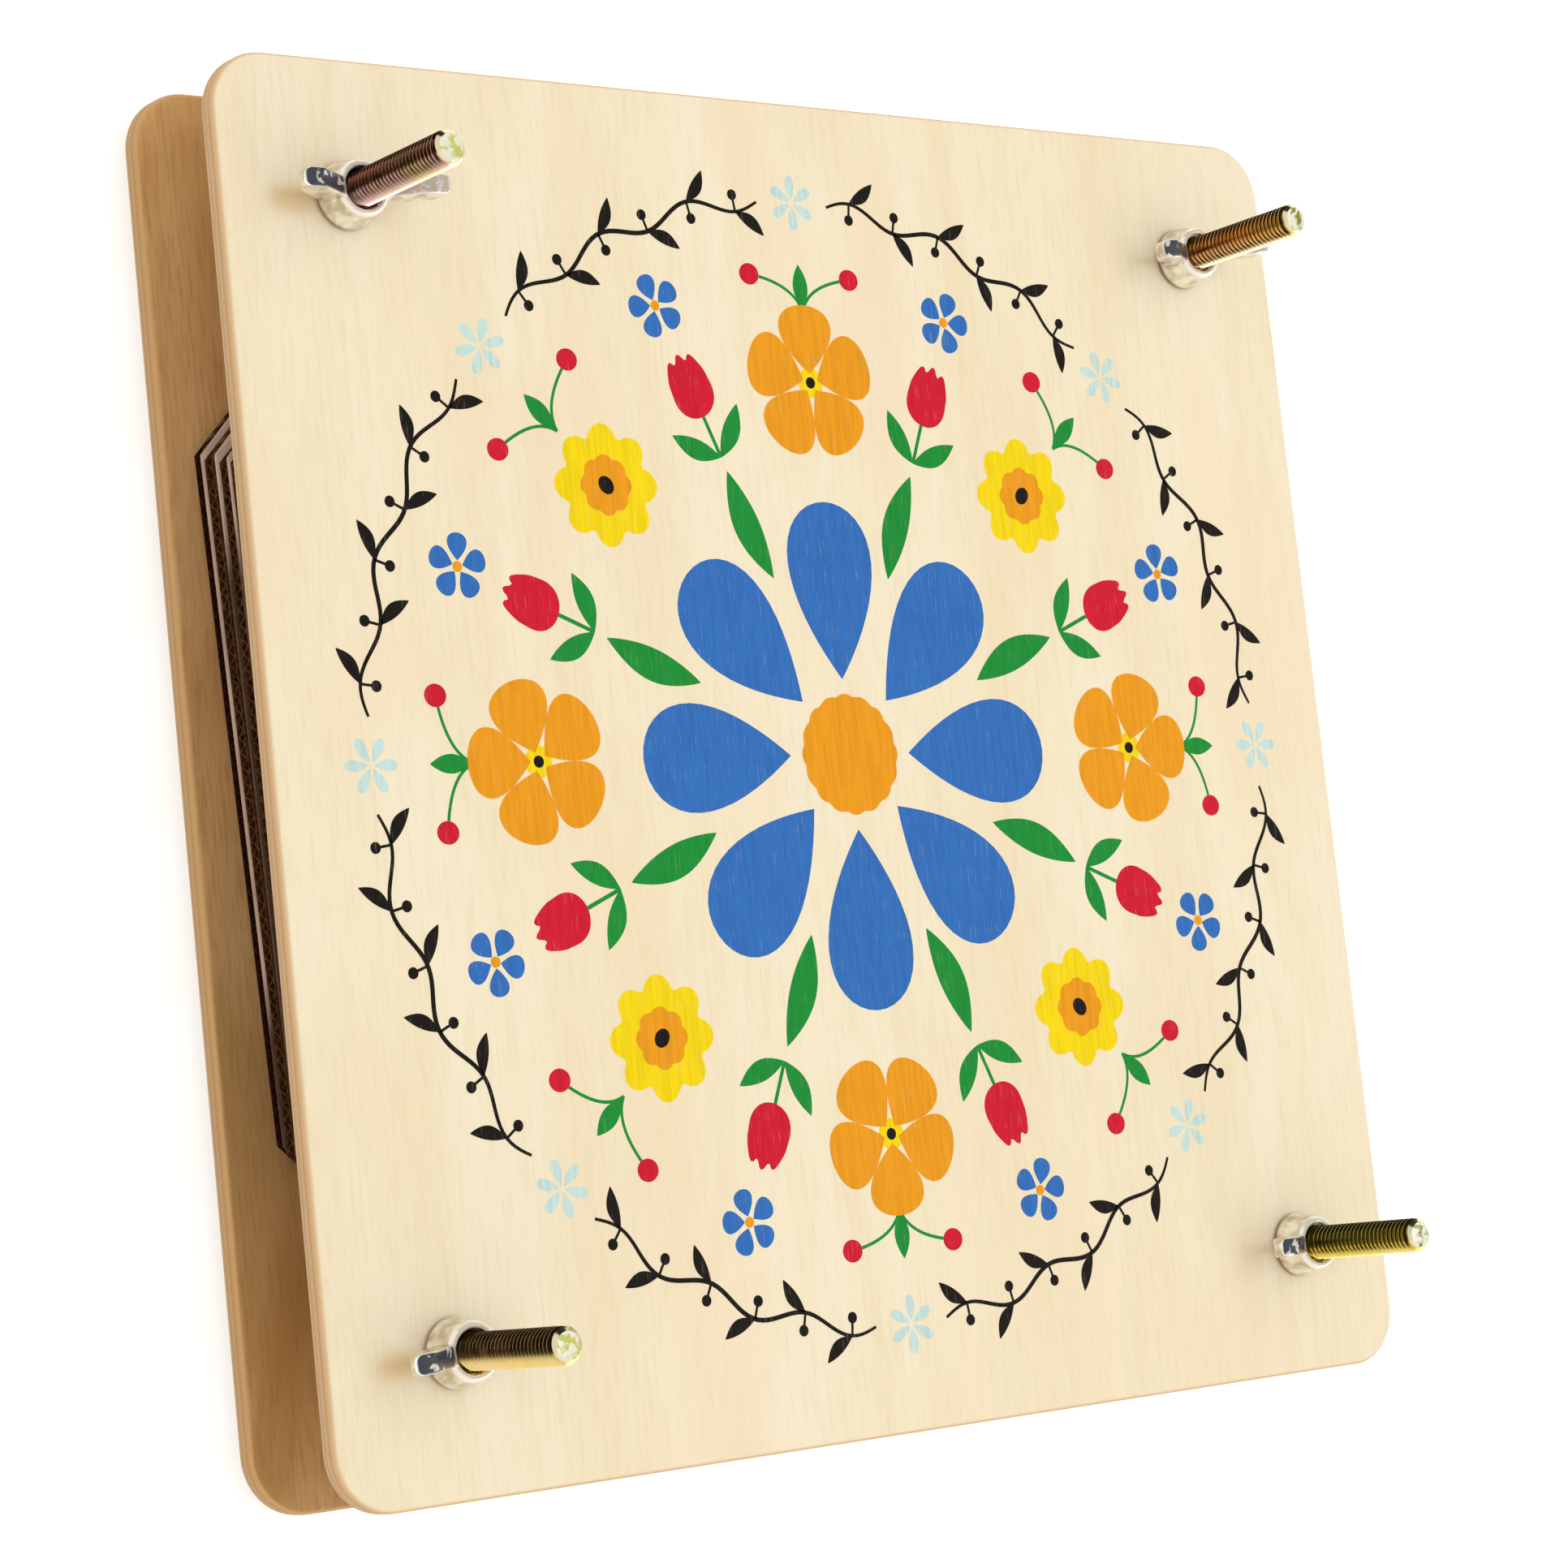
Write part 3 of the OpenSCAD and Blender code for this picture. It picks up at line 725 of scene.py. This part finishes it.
inks = {
    "print_pale_blue": (pales, 0.016, colour(205, 236, 240), 0.5),
    "print_yellow": (yellows, 0.016, colour(255, 226, 18), 0.25),
    "print_blue": (blues, 0.016, colour(54, 118, 205), 0.14),
    "print_green": (greens, 0.016, colour(30, 150, 62), 0.14),
    "print_red": (reds, 0.026, colour(218, 28, 56), 0.14),
    "print_orange": (oranges, 0.036, colour(245, 164, 32), 0.16),
    "print_black": (blacks, 0.046, colour(30, 26, 24), 0.10),
}
for name, (shapes, lift, tone, thin) in inks.items():
    layer = finished(name, film(name, shapes, lift), ink(name, tone, thin), sharp=30)
    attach(layer, "front_board")


# Wing nuts
# Four forged M6 wing nuts in bright zinc, each a tapered hub with two wings that lean outwards and thin towards
# rounded tips. Forging leaves every edge soft and the faces slightly uneven.
nut_turns = {"top_left": 1, "top_right": 5, "bottom_right": 0, "bottom_left": 4}  # In degrees
hub_profile = np.array([
    (3.62, 0.0), (4.85, 0.0), (5.30, 0.10), (5.60, 0.42), (5.70, 0.90), (5.50, 2.0), (5.12, 4.0), (4.80, 5.70),
    (4.38, 6.26), (4.14, 6.40), (3.92, 6.40), (3.66, 6.20), (3.22, 5.76), (3.14, 5.5), (3.14, 0.6), (3.24, 0.4),
])
# Distances from the bolt's axis, heights above the board, and shares of the way out along a wing
lower_foot, lower_run = (4.2, 0.9), (9.1, 6.7)
upper_shares, upper_out, upper_rise = (0, 0.66, 1), (3.7, 10.2, 14.0), (6.5, 10.95, 11.0)
rounded_from = 0.86
wing_half_thick, wing_taper, wing_squareness = 1.8, 0.12, 0.28


def hub_rings():
    """The hub's profile, a closed line of radius and height, carried round the bolt's axis."""
    angle = np.linspace(0, 2 * math.pi, 96, endpoint=False)
    radius, height = hub_profile[:, 0][:, None], hub_profile[:, 1][:, None]
    return np.stack([radius * np.cos(angle), radius * np.sin(angle), np.repeat(height, len(angle), 1)], axis=-1)


def wing_rings(side):
    """Sections of one wing from inside the hub's wall to the tip, each a rounded oblong: the cosine and sine raised
    to a power well below one. A section stands between a point on the wing's lower edge and one on its upper edge,
    which rises steeply from the hub's crown and then runs level to the tip. Near the tip all sizes draw in as a
    circle does, which rounds the end."""
    bend = np.linspace(0, 1, 12)[1:] * math.pi / 2
    way = np.concatenate([np.linspace(0, rounded_from, 14), rounded_from + (1 - rounded_from) * np.sin(bend)])
    lower = np.array(lower_foot) + way[:, None] * lower_run
    upper = np.stack([np.interp(way, upper_shares, ends) for ends in (upper_out, upper_rise)], axis=-1)
    middle, half = (lower + upper) / 2, (upper - lower) / 2
    draw = 1 - np.sqrt(1 - np.clip((way - rounded_from) / (1 - rounded_from), 0, 1) ** 2)
    half *= 1 - 0.6 * draw[:, None]
    half_thick = (wing_half_thick - wing_taper * way) * (1 - 0.7 * draw)
    t = np.linspace(0, 2 * math.pi, 56, endpoint=False)
    across = np.sign(np.cos(t)) * np.abs(np.cos(t)) ** wing_squareness
    upward = np.sign(np.sin(t)) * np.abs(np.sin(t)) ** wing_squareness
    out = middle[:, :1] + half[:, :1] * upward
    height = middle[:, 1:] + half[:, 1:] * upward
    return np.stack([side * out, side * half_thick[:, None] * across, height], axis=-1)


def closed_ring(rings):
    """The points and faces over rings that also follow on from the last to the first, such as a hub round its bore."""
    count, around = rings.shape[:2]
    here = np.arange(count * around).reshape(count, around)
    after, above = np.roll(here, -1, axis=1), np.roll(here, -1, axis=0)
    quads = np.stack([here, after, np.roll(above, -1, axis=1), above], axis=-1).reshape(-1, 4)
    return rings.reshape(-1, 3), quads.tolist()


def wing_nut(name, x, y, turn):
    """Hub and wings as three closed surfaces that run into each other, turned about the bolt and set on the board's
    face."""
    cosine, sine = math.cos(math.radians(turn)), math.sin(math.radians(turn))
    turned = np.array([[cosine, sine, 0], [-sine, cosine, 0], [0, 0, 1]])
    surfaces = [closed_ring(hub_rings()), skin(wing_rings(1)), skin(wing_rings(-1))]
    return joined(name, [(points @ turned + (x, y, face_at), faces) for points, faces in surfaces])


def bright_zinc():
    """Bright zinc, faintly clouded. The tops of the wings are painted a dark blue grey, a painted reflection, the right
    ones less, with painted white glints in spots, and the hub's crown is a painted white highlight all round. Its foot
    is painted brown, the painted shade where it meets the board."""
    material, tree, shader, coordinates = new_material("bright_zinc")
    place = coordinates.outputs["Object"]
    near = from_own_bolt(tree, place)
    above = maths(tree, "SUBTRACT", split(tree, place)["Z"], face_at * MM)
    lumps = noise(tree, place, (420, 420, 420), 2, 0.4)
    grit = noise(tree, place, (2600, 2600, 2600), 2)
    clouds = noise(tree, place, (500, 500, 360), 2)
    tone = blend_colours(tree, between(tree, clouds, 0.35, 0.7), colour(252, 252, 250), colour(206, 198, 182))
    # Painted shade: brown at the foot, where the hub meets the board
    tone = blend_colours(tree, between(tree, above, 0.4 * MM, 1.5 * MM, 0.9, 0.0), tone, colour(148, 96, 54))
    inside_wall = between(tree, near["Radius"], 5.0 * MM, 4.7 * MM)
    outside_bore = between(tree, near["Radius"], 3.5 * MM, 3.8 * MM)
    # Painted highlight: the crown is made white and less metallic all round
    crown = maths(tree, "MULTIPLY", between(tree, above, 5.3 * MM, 5.8 * MM), inside_wall)
    crown = maths(tree, "MULTIPLY", crown, outside_bore)
    tone = blend_colours(tree, crown, tone, colour(255, 251, 244))
    facing_up = split(tree, coordinates.outputs["Normal"])["Z"]
    # Painted reflection: the wing tops are dark blue grey, lighter on the right wings, with painted white glints in
    # spots
    painted_top_share = maths(tree, "MULTIPLY", between(tree, facing_up, 0.6, 0.8), between(tree, above, 6.7 * MM, 7.2 * MM))
    painted_glint_spots = between(tree, noise(tree, place, (560, 560, 560), 2, 0.5), 0.57, 0.64)
    right_side = between(tree, near["East"], 1 * MM, 4 * MM)
    slate = blend_colours(tree, right_side, colour(84, 92, 108), colour(224, 212, 202))
    tops = blend_colours(tree, painted_glint_spots, slate, colour(246, 246, 250))
    tree.links.new(blend_colours(tree, painted_top_share, tone, tops), shader.inputs["Base Color"])
    dull = maths(tree, "MAXIMUM", painted_top_share, crown)
    tree.links.new(between(tree, dull, 0, 1, 1.0, 0.3), shader.inputs["Metallic"])
    tree.links.new(between(tree, grit, 0.3, 0.7, 0.14, 0.26), shader.inputs["Roughness"])
    roughen(tree, shader, maths(tree, "ADD", lumps, maths(tree, "MULTIPLY", grit, 0.12)), 0.45, 0.25)
    return material


# The remesh welds a nut's three surfaces into one, and the smoothing softens the corners between them
nut_finish = bright_zinc()
for corner, (x, y) in bolt_places.items():
    name = "forged_nut_" + corner
    nut = finished(name, wing_nut(name, x, y, nut_turns[corner]), nut_finish, sharp=180)
    weld = nut.modifiers.new("weld", "REMESH")
    weld.mode, weld.voxel_size, weld.use_smooth_shade = "VOXEL", 0.13 * MM, True
    soften = nut.modifiers.new("soften", "SMOOTH")
    soften.factor, soften.iterations = 0.5, 3
    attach(nut, "nut_" + corner)
    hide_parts("wing_nut_" + corner)


# Floor and light
# A wide white floor that the press lies on, and soft light: a large panel above it and a little to the right, so the
# nuts' shadows fall to the left, and a warmer glow from all round. The metal mirrors a white room with a dark
# ceiling, a dark curtain beyond the top of the print and a bright reflector at the lower right.
def seen_ray(tree):
    """1 for what the camera sees, directly, in metal or through glass."""
    ray = tree.nodes.new("ShaderNodeLightPath").outputs
    seen = maths(tree, "ADD", ray["Is Camera Ray"], ray["Is Glossy Ray"])
    return maths(tree, "ADD", seen, ray["Is Transmission Ray"], clamp=True)


reach = 6.0
floor_mesh = bpy.data.meshes.new("floor")
floor_corners = [(-reach, -reach, 0), (reach, -reach, 0), (reach, reach, 0), (-reach, reach, 0)]
floor_mesh.from_pydata(floor_corners, [], [(0, 1, 2, 3)])
floor_paint = bpy.data.materials.new("floor_white")
floor_paint.use_nodes = True
tree = floor_paint.node_tree
tree.nodes.clear()
diffuse = put(tree, "ShaderNodeBsdfDiffuse", {"Color": colour(214, 214, 212)})
seen_strength = maths(tree, "MULTIPLY", seen_ray(tree), 0.7)
glow = put(tree, "ShaderNodeEmission", {"Color": (1, 1, 1, 1), "Strength": seen_strength})
both = put(tree, "ShaderNodeAddShader", {0: diffuse.outputs[0], 1: glow.outputs[0]})
put(tree, "ShaderNodeOutputMaterial", {"Surface": both.outputs[0]})
floor_mesh.materials.append(floor_paint)
floor = bpy.data.objects.new("floor", floor_mesh)
bpy.context.scene.collection.objects.link(floor)


def towards(tree, ray, direction):
    """How nearly a ray runs in this direction, from -1 to 1."""
    return put(tree, "ShaderNodeVectorMath", {0: ray, 1: direction}, operation="DOT_PRODUCT").outputs["Value"]


world = bpy.data.worlds.new("studio")
world.use_nodes = True
bpy.context.scene.world = world
tree = world.node_tree
tree.nodes.clear()
sky = tree.nodes.new("ShaderNodeTexCoord").outputs["Generated"]
far_side = between(tree, split(tree, sky)["Y"], 0.25, 0.5)
curtain = maths(tree, "MULTIPLY", far_side, between(tree, split(tree, sky)["X"], -0.32, -0.16))
ceiling = between(tree, towards(tree, sky, (0.15, 0.1, 0.98)), 0.6, 0.76)
reflector = between(tree, towards(tree, sky, (0.83, -0.42, 0.37)), 0.82, 0.95)
bright = blend_colours(tree, reflector, (1, 1, 1, 1), (2.4, 2.4, 2.3, 1))
mirrored = blend_colours(tree, maths(tree, "MAXIMUM", curtain, ceiling), bright, (0.03, 0.03, 0.03, 1))
ambient = put(tree, "ShaderNodeBackground", {"Color": (1.0, 0.925, 0.79, 1), "Strength": 0.74})
mirror = put(tree, "ShaderNodeBackground", {"Color": mirrored, "Strength": 1.0})
white = put(tree, "ShaderNodeBackground", {"Color": (1, 1, 1, 1), "Strength": 1.0})
ray = tree.nodes.new("ShaderNodeLightPath").outputs
unseen = put(tree, "ShaderNodeMixShader", {0: ray["Is Glossy Ray"], 1: ambient.outputs[0], 2: mirror.outputs[0]})
whole = put(tree, "ShaderNodeMixShader", {0: ray["Is Camera Ray"], 1: unseen.outputs[0], 2: white.outputs[0]})
put(tree, "ShaderNodeOutputWorld", {"Surface": whole.outputs[0]})


def panel(name, place, size, power, tint):
    """A square panel of soft light that faces the middle of the press. It stays out of what the metal mirrors."""
    data = bpy.data.lights.new(name, "AREA")
    data.shape, data.size, data.energy, data.color = "SQUARE", size, power, tint
    lamp = bpy.data.objects.new(name, data)
    bpy.context.scene.collection.objects.link(lamp)
    lamp.visible_glossy = False
    away = Vector(place) - Vector((0, 0, 0.03))
    lamp.matrix_world = Matrix.Translation(place) @ away.to_track_quat("Z", "Y").to_matrix().to_4x4()


panel("main_light", (0.8, 0.1, 2.7), 2.2, 26.8, (0.93, 0.985, 1.0))
